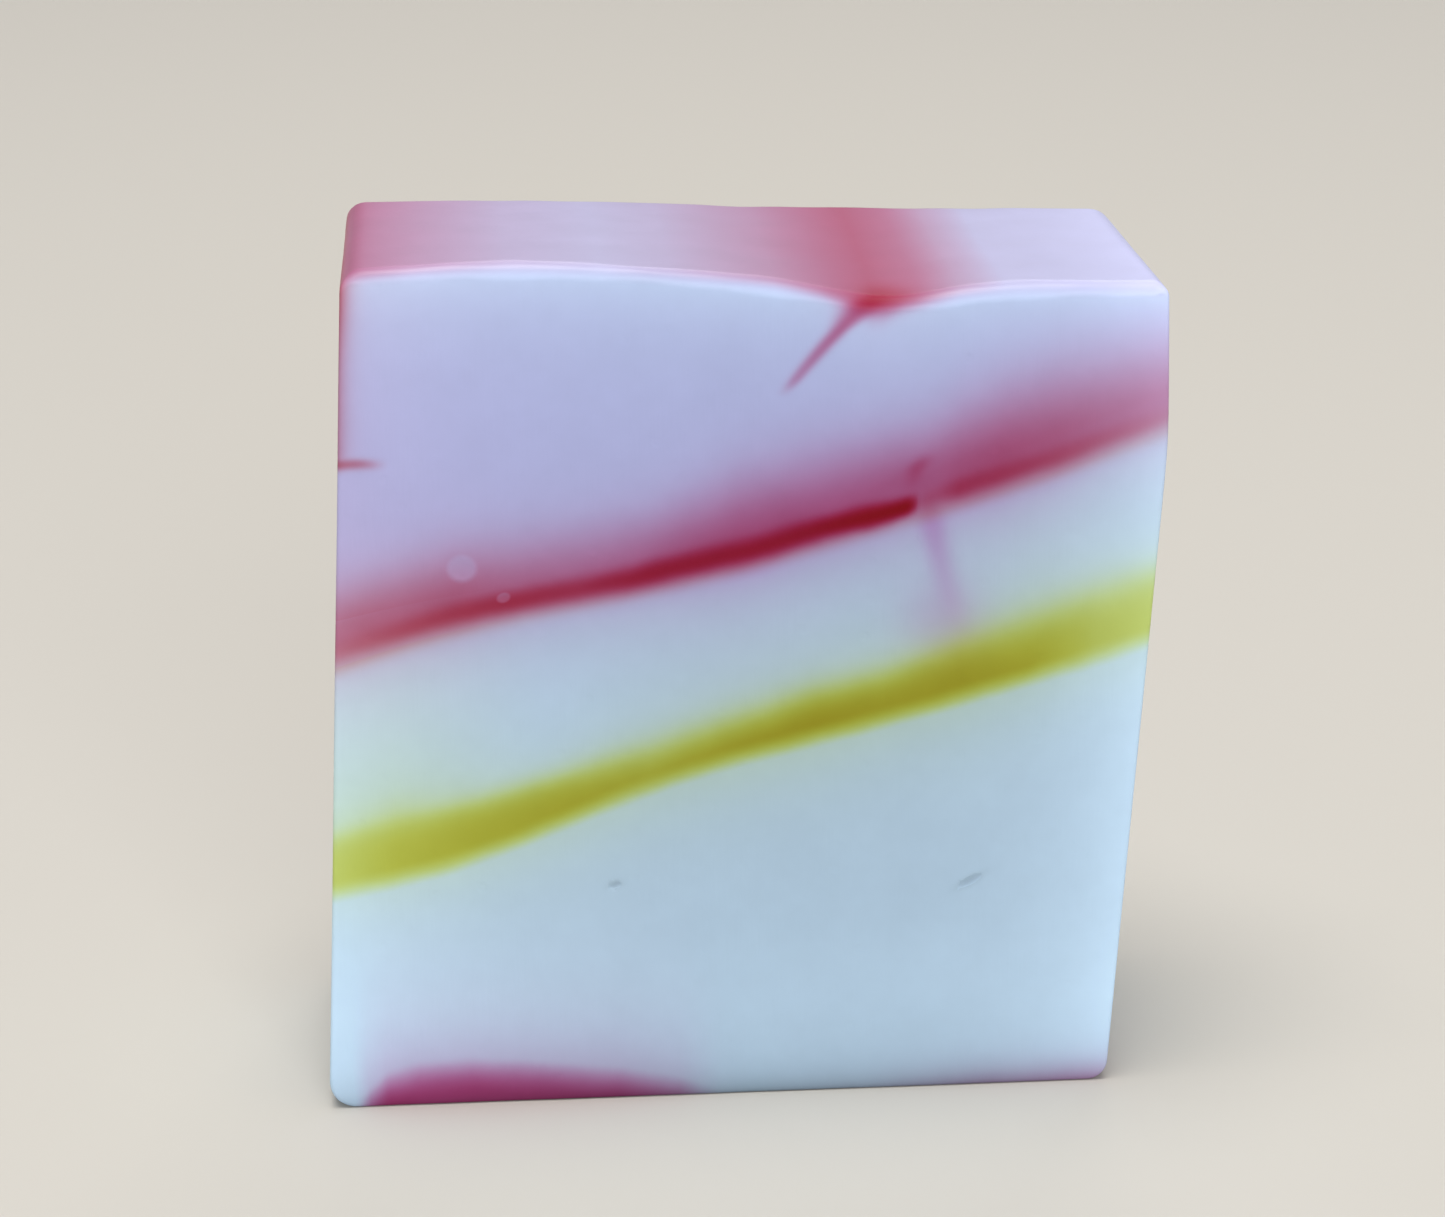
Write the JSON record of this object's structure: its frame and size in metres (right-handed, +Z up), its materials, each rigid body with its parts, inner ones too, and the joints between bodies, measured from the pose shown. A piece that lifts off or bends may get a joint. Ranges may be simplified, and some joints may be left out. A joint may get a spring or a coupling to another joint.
{
  "type": "soap bar",
  "caption": "Hand-cut slice of layered white melt-and-pour soap, with slanting crimson and yellow veins and a pink skim with a red drop on top",
  "frame": {"origin": "on the surface that the slice stands on, under the middle of its bounding box", "axes": "+X across the loaf, from the skinned wall with the red side film to the wall with the knee; +Y along the loaf, through the slice, the front cut face looking along -Y; +Z up"},
  "size_m": [0.0761, 0.028, 0.0799],
  "materials": {
    "white_pour": "creamy white, satin, slightly see-through at the edges",
    "lilac_pour": "pale lilac white, satin",
    "yellow_dye": "mustard yellow dyed soap, satin",
    "crimson_dye": "deep crimson dyed soap, satin",
    "rose_dye": "rose red dyed soap, satin",
    "pink_skim": "pale pink skim, semi-gloss as poured",
    "red_drop": "soft red drop, semi-gloss as poured",
    "pale_bleed": "faint pink bleed, satin"
  },
  "bodies": {
    "root": {"lower_pour": "white_pour", "middle_pour": "white_pour", "upper_pour": "lilac_pour", "yellow_vein": "yellow_dye", "red_vein": "crimson_dye", "red_vein_tail": "rose_dye", "top_film": "pink_skim", "top_red_drop": "red_drop", "drip_tail": "crimson_dye", "side_film": "rose_dye", "bleed_thread": "pale_bleed", "foot_pool": "crimson_dye", "foot_trace": "pale_bleed"}
  },
  "joints": []
}
